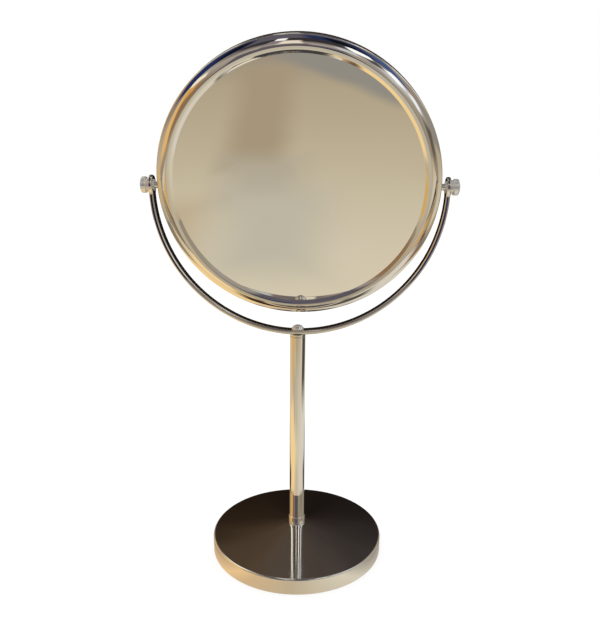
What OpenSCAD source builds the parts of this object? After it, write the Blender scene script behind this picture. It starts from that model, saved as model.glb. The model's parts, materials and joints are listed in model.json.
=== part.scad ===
// Telescopic shaving mirror: a round weighted base, a two-tube stem, a semicircular yoke
// and a round two-sided mirror that turns in the yoke between two thumb knobs.
// Millimetres. Origin at the centre of the resting face, +Z up, -Y towards the person
// who looks into the plain glass, +X to that person's right.

/* [Base] */
// Outside diameter of the pressed cover
base_d = 115; // [100:1:140]
// Height at which the cover's upright wall turns into its top
base_wall_h = 11; // [9:0.5:16]
// Rise of the shallow cone from that height to the stem's seat
base_rise = 7; // [5:0.5:10]
// Radius of the cover's outer edge
base_edge_r = 1.3; // [0.8:0.1:2]
// Sheet thickness of the cover
cover_t = 0.8; // [0.6:0.1:1]
// Thickness of the anti-slip pad
pad_t = 1.5; // [1:0.1:2.5]

/* [Stem] */
// Outside diameter of the outer tube
stem_d = 10; // [9:0.5:12]
// Wall of the outer tube
stem_wall = 0.8; // [0.6:0.1:1]
// Outside diameter of the inner tube
inner_d = 7; // [6:0.5:7]
// Wall of the inner tube
inner_wall = 0.7; // [0.5:0.1:0.8]
// How far the inner tube pulls out
travel = 80; // [40:5:80]

/* [Yoke] */
// Outside radius of the semicircular strap
yoke_r = 90.5; // [90.5:0.1:95]
// Radial thickness of the strap
yoke_t = 2.6; // [2:0.1:2.6]
// Width of the strap, front to back
yoke_w = 8; // [7:0.5:9]

/* [Mirror] */
// Height of the pivot axis above the table, with the stem pushed in
pivot_h = 245; // [235:1:260]
// Forward lean of the mirror in the stored pose, in degrees
lean = 15.5; // [0:0.5:30]
// Outside radius of the rim
rim_r = 85.2; // [84:0.1:85.8]
// Radius of the glass that shows inside the lip
sight_r = 75.3; // [74:0.1:75.4]
// Distance of each glass face from the rim's middle plane
glass_f = 4.2; // [3.8:0.1:4.4]
// Radius of curvature of the magnifying glass
magnify_r = 900; // [850:50:1500]

/* [Knobs] */
// Diameter of the knob's flange
knob_d = 9.8; // [8:0.2:11]
// Length of the knob beyond the strap
knob_l = 5.75; // [5.5:0.05:7]

/* [Hidden] */

$fn = 96;
LEFT = -1;
RIGHT = 1;
chrome = [0.80, 0.77, 0.71];
steel = [0.62, 0.62, 0.62];
eps = 0.01;
play = 0.05;        // radial play of a running fit, and the gap between faces that turn

// Base
base_r = base_d / 2;
skirt_gap = 0.4;    // the cover's edge stands this far above the table
seat_r = 7;         // flat seat for the stem in the middle of the cover
seat_h = base_wall_h + base_rise;
weight_gap = 0.3;   // between the cast weight and the sheet
recess_r = 7;
recess_top = 6.5;   // ceiling of the bolt's recess in the weight
bolt_r = 2.5;
bolt_hole_r = 2.75;
bolt_head_h = 3.2;
base_washer_t = 1;
bolt_tip = seat_h + 13;

// Stem
stem_r = stem_d / 2;
stem_bore = stem_r - stem_wall;
inner_r = inner_d / 2;
inner_bore = inner_r - inner_wall;
collar_r = stem_r + 0.5;
collar_h = 4.8;
plug_l = 16;
yoke_drop = 1.5;    // the strap's half circle is struck this far below the pivot axis
yoke_bottom = pivot_h - yoke_drop - yoke_r;
head_h = 1.6;       // flange of the stem's head, seen as a ring under the yoke
head_top = yoke_bottom - play;
head_bottom = head_top - head_h;
mouth = head_bottom - 0.1;
bush_l = 14;
slider_l = 12;
slider_bottom = mouth - bush_l - travel - slider_l - 0.5;
spigot_l = 12;

// Yoke and its screw
strap_in = yoke_r - yoke_t;
strap_edge = 0.9;
ear_r = 6;          // the strap widens to a round ear at each end
screw_r = 2;
screw_head_r = 3.9;
screw_head_h = 2.8;
yoke_washer_t = 0.35;
yoke_washer_r = 3.9;
screw_seat = pivot_h - yoke_drop - strap_in + play + yoke_washer_t;

// Mirror, as sections in (radius, distance in front of the middle plane)
glass_t = 2;
glass_r = sight_r + 0.95;
glass_back = glass_f - glass_t;
lip_step = 0.3;     // edge of the lip, standing on the glass
bezel_r = sight_r + 3.7;
ridge_r = bezel_r + 0.06;
ridge_h = glass_f + 1.77;   // the lip climbs to this height, and the rim falls away from it
ridge_soft = 0.4;
shoulder_r = 5.44;  // round of the shoulder between the ridge and the crease
crease_r = bezel_r + 3.6;
crease_h = ridge_h - shoulder_r + sqrt(pow(shoulder_r, 2) - pow(crease_r - ridge_r, 2));
band_r = 5.47;      // round of the outer band
band_x = rim_r - 3.77;
band_y = crease_h - sqrt(pow(band_r, 2) - pow(crease_r - band_x, 2));
corner_r = 0.8;     // round between the band and the rim's outer wall
corner_x = rim_r - corner_r;
corner_y = band_y + sqrt(pow(band_r - corner_r, 2) - pow(corner_x - band_x, 2));
band_end = band_x + (corner_x - band_x) * band_r / (band_r - corner_r);
channel_r = rim_r - 0.9;
frame_in = 71;
frame_out = channel_r - play;

// Pivot hardware, as distances from the middle along the pivot axis
stud_r = 1.5;
insert_r = 2.6;
insert_in = bezel_r + 0.3;
insert_out = rim_r - 3.8;
boss_r = 3.9;
spacer_r = 2;
friction_t = 0.4;
friction_r = 3.4;
friction_out = strap_in - play;
spacer_out = friction_out - friction_t;
knob_in = yoke_r + play;
knob_bore = 3.3;
stud_in = insert_in + 0.7;
stud_out = knob_in + knob_bore;

// Points of an arc about (x, y) with radius r, from angle a to angle b
function arc(x, y, r, a, b, steps = 10) =
    [for (i = [0:steps]) let (t = a + (b - a) * i / steps) [x + r * cos(t), y + r * sin(t)]];

// Depth of the magnifying face below its edge, at radius r
function dish(r) = (glass_r * glass_r - r * r) / (2 * magnify_r);

// Radius of the sphere whose cap is h high on a round of radius r
function cap_r(r, h) = (r * r + h * h) / (2 * h);

// A tube or ring standing on z, with a bore
module tube(r, bore, z, l) {
    difference() {
        translate([0, 0, z]) cylinder(r = r, h = l);
        translate([0, 0, z - eps]) cylinder(r = bore, h = l + 2 * eps);
    }
}

// Turns a shape made about +Z to look out of the mirror's front, at the stored lean
module mirror_frame() {
    translate([0, 0, pivot_h]) rotate([lean, 0, 0]) rotate([90, 0, 0]) children();
}

// Lays a shape made along +Z onto the pivot axis, pointing out to one side
module pivot_axis(side) {
    translate([0, 0, pivot_h]) rotate([0, 90 * side, 0]) children();
}

// ---- Base ----

// Section of the cover's outer skin, or of a skin that lies "inset" below it
module cover_section(inset) {
    edge = base_edge_r - inset;
    wall = base_r - inset;
    edge_y = base_wall_h - inset;
    polygon(concat([[0, skirt_gap], [wall, skirt_gap]],
        arc(wall - edge, edge_y - edge, edge, 0, 82),
        [[seat_r, seat_h - inset], [0, seat_h - inset]]));
}

// Pressed steel shell: upright wall, rounded edge and a shallow cone up to the stem's seat
module base_cover() {
    color(chrome) difference() {
        rotate_extrude($fn = 180) difference() {
            cover_section(0);
            translate([0, -eps]) cover_section(cover_t);
        }
        cylinder(r = bolt_hole_r, h = seat_h + 1);
    }
}

// Cast disc that fills the cover and takes the bolt's pull on a recessed seat
module base_weight() {
    weight_r = base_r - cover_t - weight_gap;
    edge_h = base_wall_h - cover_t - weight_gap - 0.5;
    under_seat = seat_h - cover_t;
    color([0.27, 0.27, 0.28]) difference() {
        rotate_extrude($fn = 180) polygon([[0, pad_t], [weight_r - 0.6, pad_t],
            [weight_r, pad_t + 0.6], [weight_r, edge_h - 1.2], [weight_r - 1.2, edge_h],
            [seat_r + 2, under_seat - weight_gap - 0.3], [seat_r - 0.5, under_seat],
            [0, under_seat]]);
        translate([0, 0, pad_t - eps]) cylinder(r = recess_r, h = recess_top - pad_t + eps);
        cylinder(r = bolt_hole_r, h = seat_h + 1);
    }
}

// Round anti-slip pad under the weight, the face the mirror stands on
module base_pad() {
    pad_r = base_r - 2;
    color([0.16, 0.16, 0.17]) rotate_extrude($fn = 180)
        polygon([[0, 0], [pad_r - 0.4, 0], [pad_r, 0.4], [pad_r, pad_t], [0, pad_t]]);
}

// Hexagon bolt that pulls base and stem together from below
module base_bolt() {
    head_z = recess_top - base_washer_t - bolt_head_h;
    color(steel) {
        translate([0, 0, head_z]) cylinder(r = 4.6, h = bolt_head_h, $fn = 6);
        translate([0, 0, head_z]) cylinder(r = bolt_r, h = bolt_tip - head_z);
    }
}

// Flat washer between the bolt's head and the weight
module base_washer() {
    color(steel) tube(6.2, bolt_hole_r, recess_top - base_washer_t, base_washer_t);
}

// ---- Stem ----

// Turned ferrule round the foot of the stem
module foot_collar() {
    soft = 0.45;
    color(chrome) rotate_extrude() polygon(concat(
        [[stem_r, seat_h], [collar_r - soft, seat_h]],
        arc(collar_r - soft, seat_h + soft, soft, -90, 0, 6),
        arc(collar_r - soft, seat_h + collar_h - soft, soft, 0, 90, 6),
        [[stem_r, seat_h + collar_h]]));
}

// Threaded plug pressed into the foot of the outer tube, for the base bolt
module stem_foot_plug() {
    color(steel) difference() {
        translate([0, 0, seat_h]) cylinder(r = stem_bore, h = plug_l);
        translate([0, 0, seat_h - eps]) cylinder(r = bolt_r, h = plug_l - 2);
    }
}

// Outer tube, standing on the cover inside the collar
module stem_outer_tube() {
    color(chrome) tube(stem_r, stem_bore, seat_h, mouth - seat_h);
}

// Plastic bush in the mouth of the outer tube, which guides the inner tube
module stem_guide_bush() {
    color([0.9, 0.9, 0.88]) tube(stem_bore, inner_r + play, mouth - bush_l, bush_l);
}

// Inner tube, which carries the yoke and pulls out of the outer tube
module inner_tube() {
    color(chrome) tube(inner_r, inner_bore, slider_bottom, head_bottom - slider_bottom);
}

// Split plastic sleeve on the inner tube's lower end: it gives the grip that holds the
// height, and its top edge meets the guide bush at full extension
module inner_tube_slider() {
    slit_w = 1;
    slit_l = 8;
    color([0.85, 0.85, 0.83]) difference() {
        tube(stem_bore - play, inner_r, slider_bottom, slider_l);
        for (turn = [0, 90])
            rotate([0, 0, turn]) translate([-stem_r, -slit_w / 2, slider_bottom + slider_l - slit_l])
                cube([stem_d, slit_w, slit_l + eps]);
    }
}

// Head of the inner tube: a ring as wide as the stem, and a threaded spigot in the tube
module stem_head() {
    color(chrome) difference() {
        union() {
            translate([0, 0, head_bottom]) rotate_extrude() polygon([[0, 0],
                [stem_r - 0.3, 0], [stem_r, 0.3], [stem_r, head_h - 0.3],
                [stem_r - 0.3, head_h], [0, head_h]]);
            translate([0, 0, head_bottom - spigot_l]) cylinder(r = inner_bore, h = spigot_l + eps);
        }
        translate([0, 0, head_bottom - spigot_l - eps])
            cylinder(r = screw_r, h = spigot_l + head_h + 2 * eps);
    }
}

// Thin washer between the strap and the screw's head, on which the yoke swivels
module yoke_washer() {
    color(steel) tube(yoke_washer_r, screw_r, screw_seat - yoke_washer_t, yoke_washer_t);
}

// Dome-headed screw with a cross recess, down through the strap into the stem's head
module yoke_screw() {
    brim = 0.5;
    dome = cap_r(screw_head_r, screw_head_h - brim);
    rise = asin(screw_head_r / dome);
    slot_w = 0.8;
    slot_l = 4;
    slot_h = 1.1;
    color(chrome) difference() {
        translate([0, 0, screw_seat]) rotate_extrude() polygon(concat(
            [[0, brim - spigot_l], [screw_r, brim - spigot_l], [screw_r, 0], [screw_head_r, 0]],
            arc(0, screw_head_h - dome, dome, 90 - rise, 90, 12)));
        for (turn = [0, 90]) translate([0, 0, screw_seat + screw_head_h - slot_h])
            rotate([0, 0, turn]) translate([-slot_l / 2, -slot_w / 2, 0])
                cube([slot_l, slot_w, slot_h + 1]);
    }
}

// ---- Yoke ----

// Section of the strap, thickness by width, with rounded edges
module strap_section(width) {
    flat_t = yoke_t / 2 - strap_edge;
    flat_w = width / 2 - strap_edge;
    square([yoke_t, 2 * flat_w], center = true);
    square([2 * flat_t, width], center = true);
    for (x = [-1, 1], y = [-1, 1])
        translate([x * flat_t, y * flat_w]) circle(r = strap_edge, $fn = 24);
}

// Round ear at one end of the strap, a disc about the pivot axis with the strap's edges
module yoke_ear(side) {
    rotate([0, 90 * side, 0]) translate([0, 0, yoke_r - yoke_t / 2]) rotate_extrude($fn = 64)
        intersection() {
            rotate([0, 0, 90]) strap_section(2 * ear_r);
            translate([0, -yoke_t]) square([2 * ear_r, 2 * yoke_t]);
        }
}

// Semicircular strap with a pivot hole in each ear and the swivel hole at the bottom
module yoke() {
    color(chrome) translate([0, 0, pivot_h]) difference() {
        union() {
            translate([0, 0, -yoke_drop]) rotate([90, 0, 0]) rotate([0, 0, 180])
                rotate_extrude(angle = 180, $fn = 180)
                    translate([yoke_r - yoke_t / 2, 0]) strap_section(yoke_w);
            for (side = [LEFT, RIGHT]) yoke_ear(side);
        }
        for (side = [LEFT, RIGHT]) rotate([0, 90 * side, 0]) {
            translate([0, 0, rim_r]) cylinder(r = stud_r + play, h = 10);
            translate([0, 0, rim_r]) cylinder(r = 4, h = strap_in - rim_r);
        }
        translate([0, 0, -yoke_drop - yoke_r - 1]) cylinder(r = screw_r + play, h = yoke_t + 3);
        translate([0, 0, -yoke_drop - strap_in]) cylinder(r = yoke_washer_r + 0.3, h = 5);
    }
}

// ---- Mirror ----

// One face's half of the rolled rim's section: the shoulder falls from the ridge to a
// crease, and the outer band runs on from there to the upright outer wall
module hoop_face() {
    intersection() {
        translate([ridge_r, ridge_h - shoulder_r]) circle(r = shoulder_r);
        translate([ridge_r, -1]) square([crease_r - ridge_r, ridge_h + 1]);
    }
    intersection() {
        translate([band_x, band_y]) circle(r = band_r);
        translate([crease_r, -1]) square([band_end - crease_r, ridge_h + 1]);
    }
    intersection() {
        translate([corner_x, corner_y]) circle(r = corner_r);
        translate([corner_x, 0]) square(corner_y + corner_r);
    }
    translate([crease_r, -1]) square([rim_r - crease_r, corner_y + 1]);
}

// Section of the rolled rim, both faces, with a channel open inwards for the frame
module hoop_section() {
    channel = [[bezel_r - 1, ridge_h - 1.1], [bezel_r + 1.2, ridge_h - 1.1],
        [crease_r, crease_h - 1.05], [channel_r, corner_y - 0.25]];
    difference() {
        union() {
            hoop_face();
            mirror([0, 1]) hoop_face();
        }
        polygon(concat(channel, [for (i = [3:-1:0]) [channel[i][0], -channel[i][1]]]));
    }
}

// Rolled rim that closes round the frame
module rim_hoop() {
    color(chrome) difference() {
        mirror_frame() rotate_extrude($fn = 180) hoop_section();
        for (side = [LEFT, RIGHT])
            pivot_axis(side) translate([0, 0, insert_out]) cylinder(r = spacer_r + play, h = 6);
    }
}

// Section of a bezel: the conical lip that climbs from the glass to the ridge, and the
// skirt round the glass's edge
module bezel_section() {
    polygon(concat([[sight_r, glass_f], [sight_r, glass_f + lip_step]],
        arc(bezel_r, ridge_h - ridge_soft, ridge_soft, 112, 90, 4),
        [[bezel_r, glass_back], [glass_r + 0.3, glass_back], [glass_r + 0.3, glass_f]]));
}

// Lip ring that holds the plain glass
module front_bezel() {
    color(chrome) mirror_frame() rotate_extrude($fn = 180) bezel_section();
}

// Lip ring that holds the magnifying glass
module rear_bezel() {
    color(chrome) mirror_frame() mirror([0, 0, 1]) rotate_extrude($fn = 180) bezel_section();
}

// Plain mirror glass
module front_glass() {
    color([0.74, 0.70, 0.60]) mirror_frame()
        translate([0, 0, glass_back]) cylinder(r = glass_r, h = glass_t, $fn = 180);
}

// Magnifying mirror glass, an even sheet slumped to a shallow dish
module rear_glass() {
    rings = 18;
    radii = [for (i = [0:rings]) glass_r * i / rings];
    seen = [for (r = radii) [r, dish(r) - glass_f]];
    hidden = [for (i = [rings:-1:0]) [radii[i], dish(radii[i]) - glass_back]];
    color([0.74, 0.72, 0.66]) mirror_frame()
        rotate_extrude($fn = 180) polygon(concat(seen, hidden));
}

// Board behind the plain glass that keeps the two silvered backs apart
module divider_disc() {
    color([0.2, 0.2, 0.2]) mirror_frame()
        translate([0, 0, glass_back - 0.6]) cylinder(r = frame_in - 0.2, h = 0.6, $fn = 180);
}

// Moulded ring inside the rim: it parts the two glasses and holds the threaded inserts
module inner_frame() {
    color([0.12, 0.12, 0.12]) difference() {
        union() {
            mirror_frame() rotate_extrude($fn = 180) polygon([[frame_in, glass_back],
                [frame_out, glass_back], [frame_out, -glass_back], [glass_r, -glass_back],
                [frame_in, dish(frame_in) + 0.07 - glass_back]]);
            for (side = [LEFT, RIGHT]) pivot_axis(side) translate([0, 0, insert_in])
                cylinder(r = boss_r, h = insert_out - insert_in);
        }
        for (side = [LEFT, RIGHT]) pivot_axis(side) {
            translate([0, 0, insert_in - 1]) cylinder(r = insert_r, h = insert_out - insert_in + 1);
            translate([0, 0, insert_out - eps]) cylinder(r = spacer_r, h = 5);
        }
    }
}

// ---- Pivot hardware, one set each side ----

// Threaded brass insert in the frame's boss
module pivot_insert(side) {
    color([0.78, 0.62, 0.30]) pivot_axis(side)
        tube(insert_r, stud_r + 0.03, insert_in, insert_out - insert_in);
}

// Bright bush between the insert and the strap, which keeps the rim central in the yoke
module pivot_spacer(side) {
    color(chrome) pivot_axis(side)
        tube(spacer_r, stud_r + play, insert_out, spacer_out - insert_out);
}

// Nylon washer against the strap, which gives the tilt its drag
module friction_washer(side) {
    color([0.92, 0.92, 0.9]) pivot_axis(side)
        tube(friction_r, stud_r + play, spacer_out, friction_t);
}

// Threaded stud from the knob through the strap and the spacer into the insert
module pivot_stud(side) {
    color(steel) pivot_axis(side)
        translate([0, 0, stud_in]) cylinder(r = stud_r, h = stud_out - stud_in);
}

// Turned knob: flange, taper, neck and domed head
module pivot_knob(side) {
    flange_r = knob_d / 2;
    head_r = flange_r - 0.3;
    neck_r = flange_r - 1.4;
    chamfer = 0.3;
    brim_z = knob_l - 1.45;
    dome = cap_r(head_r, knob_l - brim_z);
    rise = asin(head_r / dome);
    color(chrome) pivot_axis(side) translate([0, 0, knob_in]) difference() {
        rotate_extrude() polygon(concat(
            [[0, 0], [flange_r - chamfer, 0], [flange_r, chamfer], [flange_r, 1],
                [neck_r, 2.7], [neck_r, 3.1], [head_r - chamfer, 3.5], [head_r, 3.8]],
            arc(0, knob_l - dome, dome, 90 - rise, 90, 12)));
        translate([0, 0, -eps]) cylinder(r = stud_r, h = knob_bore + eps);
    }
}

module left_insert() { pivot_insert(LEFT); }
module right_insert() { pivot_insert(RIGHT); }
module left_spacer() { pivot_spacer(LEFT); }
module right_spacer() { pivot_spacer(RIGHT); }
module left_friction_washer() { friction_washer(LEFT); }
module right_friction_washer() { friction_washer(RIGHT); }
module left_stud() { pivot_stud(LEFT); }
module right_stud() { pivot_stud(RIGHT); }
module left_knob() { pivot_knob(LEFT); }
module right_knob() { pivot_knob(RIGHT); }

base_cover();
base_weight();
base_pad();
base_bolt();
base_washer();
foot_collar();
stem_foot_plug();
stem_outer_tube();
stem_guide_bush();
inner_tube();
inner_tube_slider();
stem_head();
yoke_washer();
yoke_screw();
yoke();
rim_hoop();
front_bezel();
rear_bezel();
front_glass();
rear_glass();
divider_disc();
inner_frame();
left_insert();
right_insert();
left_spacer();
right_spacer();
left_friction_washer();
right_friction_washer();
left_stud();
right_stud();
left_knob();
right_knob();
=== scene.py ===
# %% [markdown]
# # A two-sided shaving mirror on a telescopic stand
#
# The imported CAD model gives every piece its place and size. This script dresses it: the parts
# that show are modelled again as smooth lathe work, because chrome is the hardest finish there
# is on a mesh. A flat facet that nobody sees on wood is a broken line in a reflection on chrome.
#
# Everything is in metres, +Z up, and the person who looks into the plain glass stands at -Y.

import json
import math

import bmesh
import bpy
from mathutils import Matrix, Vector


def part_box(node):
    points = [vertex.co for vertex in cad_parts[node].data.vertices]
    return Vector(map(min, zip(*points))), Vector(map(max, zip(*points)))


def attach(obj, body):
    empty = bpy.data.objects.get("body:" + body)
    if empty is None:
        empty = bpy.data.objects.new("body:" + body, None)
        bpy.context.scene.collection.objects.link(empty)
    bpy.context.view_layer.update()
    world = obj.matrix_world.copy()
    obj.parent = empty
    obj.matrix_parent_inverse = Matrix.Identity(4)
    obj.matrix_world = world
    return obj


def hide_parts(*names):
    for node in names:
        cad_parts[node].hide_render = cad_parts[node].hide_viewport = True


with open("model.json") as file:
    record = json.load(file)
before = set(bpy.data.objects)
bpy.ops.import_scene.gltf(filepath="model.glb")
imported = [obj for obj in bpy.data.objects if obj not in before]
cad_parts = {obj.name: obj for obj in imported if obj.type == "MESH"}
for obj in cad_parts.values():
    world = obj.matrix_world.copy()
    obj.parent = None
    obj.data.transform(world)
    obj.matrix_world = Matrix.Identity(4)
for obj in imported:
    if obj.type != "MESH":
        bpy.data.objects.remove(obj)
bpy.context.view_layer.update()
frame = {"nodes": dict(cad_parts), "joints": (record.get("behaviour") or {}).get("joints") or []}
MM = 0.001

# %% [markdown]
# ## Sizes, read from the frame
#
# The real mirror is a stack of turned and rolled parts on two axes: the stem's, which is the
# frame's Z axis, and the pivot's, which the tilt joint gives. The lean of the mirror isn't
# written anywhere in the frame, but a round glass of radius R and thickness t that leans by an
# angle fills a box of known depth and height, and those two give the angle back.

# %% Measure the CAD pieces
X, Y, Z = 0, 1, 2


def low(node):
    """The corner of a CAD node's box with the smallest x, y and z."""
    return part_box(node)[0]


def high(node):
    """The corner of a CAD node's box with the largest x, y and z."""
    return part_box(node)[1]


def half_size(node, axis):
    """Half of a node's size along one axis."""
    return (high(node)[axis] - low(node)[axis]) / 2


def half_width(node):
    """Half of a node's size along X, which is the radius of every round piece asked for."""
    return half_size(node, X)


joints = {joint["name"]: joint for joint in frame["joints"]}
pivot = Vector(joints["mirror_tilt"]["pos_m"])

cover_r = half_width("base_cover")
cover_bottom = low("base_cover")[Z]
seat_z = high("base_cover")[Z]
stem_r = half_width("stem_outer_tube")
mouth_z = high("stem_outer_tube")[Z]
strap_r = half_width("yoke")
ear_r = half_size("yoke", Y)
rim_r = half_width("rim_hoop")
glass_r = half_width("front_glass")

GLASS_T = 2 * MM
deep = half_size("front_glass", Y)
tall = half_size("front_glass", Z)
lean = math.atan2(glass_r * deep - GLASS_T / 2 * tall, glass_r * tall - GLASS_T / 2 * deep)
print("pivot", [round(v / MM, 1) for v in pivot], "lean", round(math.degrees(lean), 2))

# %% [markdown]
# ## The camera
#
# The mirror is looked at from a standing person's height, close by and a little from the right,
# so the base is seen from above and the mirror almost straight on. A small upward shift keeps
# the whole stand in the frame without tipping the verticals any further.

# %% Place the camera
CAMERA_PLACE = Vector((20.0, -415.5, 268.7)) * MM
CAMERA_DOWN = math.radians(16.12)
CAMERA_LEFT = math.radians(2.555)
CAMERA_ROLL = math.radians(0.35)

camera_data = bpy.data.cameras.new("camera")
camera_data.lens = 38.86
camera_data.sensor_width = 36
camera_data.shift_y = 0.044
camera = bpy.data.objects.new("camera", camera_data)
camera.matrix_world = (
    Matrix.Translation(CAMERA_PLACE)
    @ Matrix.Rotation(CAMERA_LEFT, 4, "Z")
    @ Matrix.Rotation(math.pi / 2 - CAMERA_DOWN, 4, "X")
    @ Matrix.Rotation(CAMERA_ROLL, 4, "Z")
)
bpy.context.collection.objects.link(camera)
bpy.context.scene.camera = camera

# %% [markdown]
# ## Outlines
#
# Every turned part starts as an outline: a few corners in (radius, height), some of them rounded.
# The rounding could be left to a Bevel modifier, but then the flats beside it would take their
# shading from the slanted faces of the round and bend every reflection. So each round is an arc
# of small steps, and a guard point sits just outside each of its ends. The flat is shaded flat
# up to the guard point.

# %% Helpers for outlines
ARC_STEP = math.radians(6)
GUARD = 0.12 * MM


def arc(x, y, radius, start, stop):
    """Points of an arc about (x, y), from one angle in degrees to another."""
    sweep = math.radians(stop - start)
    steps = max(2, math.ceil(abs(sweep) / ARC_STEP))
    angles = [math.radians(start) + sweep * i / steps for i in range(steps + 1)]
    return [(x + radius * math.cos(a), y + radius * math.sin(a)) for a in angles]


def rounded(corners, closed=True, guard=GUARD):
    """Turn corners (x, y) or (x, y, radius) into an outline with the rounds drawn as arcs."""
    outline = []
    for i, corner in enumerate(corners):
        here = Vector(corner[:2])
        at_end = not closed and i in (0, len(corners) - 1)
        if len(corner) == 2 or at_end:
            outline.append(tuple(here))
            continue
        before = (Vector(corners[i - 1][:2]) - here).normalized()
        after = (Vector(corners[(i + 1) % len(corners)][:2]) - here).normalized()
        half = before.angle(after) / 2
        radius = corner[2]
        cut = radius / math.tan(half)
        centre = here + (before + after).normalized() * radius / math.sin(half)
        first = here + before * cut - centre
        last = here + after * cut - centre
        turn = math.atan2(first.x * last.y - first.y * last.x, first.dot(last))
        start = math.degrees(math.atan2(first.y, first.x))
        outline.append(tuple(here + before * (cut + guard)))
        outline += arc(centre.x, centre.y, radius, start, start + math.degrees(turn))
        outline.append(tuple(here + after * (cut + guard)))
    return outline


def cap_radius(radius, height):
    """Radius of the ball whose cap is that high on a round of that radius."""
    return (radius ** 2 + height ** 2) / (2 * height)


# %% [markdown]
# ## Turning an outline into a mesh
#
# `bmesh.ops.spin` is Blender's lathe. It swings the outline about an axis and joins the steps
# with faces. Points on the axis would leave a ring of doubles at the pole, so doubles are merged
# afterwards, and normals are recalculated last, because a spin can come out inside out.

# %% Helpers for lathe work
RIM_STEPS = 240
SMALL_STEPS = 72
# In metres: points that are closer than WELD become one, edges shorter than SPECK go
WELD = 1e-7
SPECK = 1e-8
SHARP_FROM = math.radians(28)


def lathe(outline, steps, closed=True):
    """Spin an outline of (radius, height) points about +Z and return the bmesh."""
    bm = bmesh.new()
    verts = [bm.verts.new((x, 0, y)) for x, y in outline]
    edges = [bm.edges.new(pair) for pair in zip(verts, verts[1:])]
    if closed:
        edges.append(bm.edges.new((verts[-1], verts[0])))
    bmesh.ops.spin(
        bm, geom=verts + edges, cent=(0, 0, 0), axis=(0, 0, 1), dvec=(0, 0, 0),
        angle=2 * math.pi, steps=steps, use_merge=True,
    )
    bmesh.ops.remove_doubles(bm, verts=bm.verts, dist=WELD)
    bmesh.ops.dissolve_degenerate(bm, edges=bm.edges, dist=SPECK)
    bmesh.ops.recalc_face_normals(bm, faces=bm.faces)
    return bm


def moved(bm, matrix):
    """Carry a bmesh to its place in the frame."""
    bmesh.ops.transform(bm, matrix=matrix, verts=bm.verts)
    return bm


def make_piece(name, bm, body, finish, replaced=()):
    """Make an object of a bmesh, smooth but for its sharp edges, and let it ride on a body."""
    mesh = bpy.data.meshes.new(name)
    bm.to_mesh(mesh)
    bm.free()
    mesh.materials.append(finish)
    mesh.shade_smooth()
    mesh.set_sharp_from_angle(angle=SHARP_FROM)
    piece = bpy.data.objects.new(name, mesh)
    bpy.context.collection.objects.link(piece)
    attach(piece, body)
    if replaced:
        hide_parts(*replaced)
    print(f"{name}: {len(mesh.polygons)} faces on {body}")
    return piece


# Places for parts made about +Z: looking out of the mirror's front, and along the pivot axis
OUT_OF_MIRROR = (
    Matrix.Translation(pivot) @ Matrix.Rotation(lean, 4, "X")
    @ Matrix.Rotation(math.pi / 2, 4, "X")
)
LEFT, RIGHT = -1, 1
SIDES = {"left": LEFT, "right": RIGHT}


def out_to(side):
    """The place on the pivot axis from which +Z points out to one side."""
    return Matrix.Translation(pivot) @ Matrix.Rotation(side * math.pi / 2, 4, "Y")


# %% [markdown]
# ## Chrome and the other finishes
#
# Plated chrome is a mirror with a faint grey-blue metal colour. Two things keep it from looking
# like a computer's idea of chrome: the plate is never quite even, so reflections swim a little,
# and fingers and cloths leave patches where it is a touch less sharp. Both come from noise on
# Object coordinates, one driving a very weak bump and the other the roughness.

# %% Helpers for materials
def new_material(name):
    """A node material with its Principled shader, ready for more nodes."""
    material = bpy.data.materials.new(name)
    material.use_nodes = True
    nodes = material.node_tree.nodes
    return material, nodes, material.node_tree.links, nodes["Principled BSDF"]


def noise(nodes, links, scale, detail=4.0, stretch=(1, 1, 1)):
    """A noise texture on Object coordinates, so many cells to the metre."""
    place = nodes.new("ShaderNodeTexCoord")
    mapping = nodes.new("ShaderNodeMapping")
    mapping.inputs["Scale"].default_value = stretch
    texture = nodes.new("ShaderNodeTexNoise")
    texture.inputs["Scale"].default_value = scale
    texture.inputs["Detail"].default_value = detail
    links.new(place.outputs["Object"], mapping.inputs["Vector"])
    links.new(mapping.outputs["Vector"], texture.inputs["Vector"])
    return texture


def spread(nodes, links, source, low_value, high_value, start=0.35, stop=0.7):
    """Map a texture's value onto a range."""
    ramp = nodes.new("ShaderNodeMapRange")
    ramp.inputs["From Min"].default_value = start
    ramp.inputs["From Max"].default_value = stop
    ramp.inputs["To Min"].default_value = low_value
    ramp.inputs["To Max"].default_value = high_value
    links.new(source.outputs["Fac"], ramp.inputs["Value"])
    return ramp


def two_tone(nodes, links, source, first, second):
    """Mix two colours by a texture."""
    mix = nodes.new("ShaderNodeMix")
    mix.data_type = "RGBA"
    mix.inputs["A"].default_value = (*first, 1)
    mix.inputs["B"].default_value = (*second, 1)
    links.new(source.outputs["Fac"], mix.inputs["Factor"])
    return mix


def bump(nodes, links, source, shader, strength, distance):
    """Drive a shader's normal with a texture."""
    node = nodes.new("ShaderNodeBump")
    node.inputs["Strength"].default_value = strength
    node.inputs["Distance"].default_value = distance
    links.new(source.outputs["Fac"], node.inputs["Height"])
    links.new(node.outputs["Normal"], shader.inputs["Normal"])


def metal(
    name, first, second, smooth, worn, wave, wave_scale, smear=60, stretch=(1, 1, 1), metallic=1.0
):
    """A plated or bare metal: two close tones, patchy roughness and a faint waviness."""
    material, nodes, links, shader = new_material(name)
    shader.inputs["Metallic"].default_value = metallic
    patches = noise(nodes, links, smear, stretch=stretch)
    tone = two_tone(nodes, links, patches, first, second)
    links.new(tone.outputs["Result"], shader.inputs["Base Color"])
    wiped = spread(nodes, links, patches, smooth, worn)
    links.new(wiped.outputs["Result"], shader.inputs["Roughness"])
    if wave:
        swell = noise(nodes, links, wave_scale, detail=1.0, stretch=stretch)
        bump(nodes, links, swell, shader, 1.0, wave)
    return material


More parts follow.
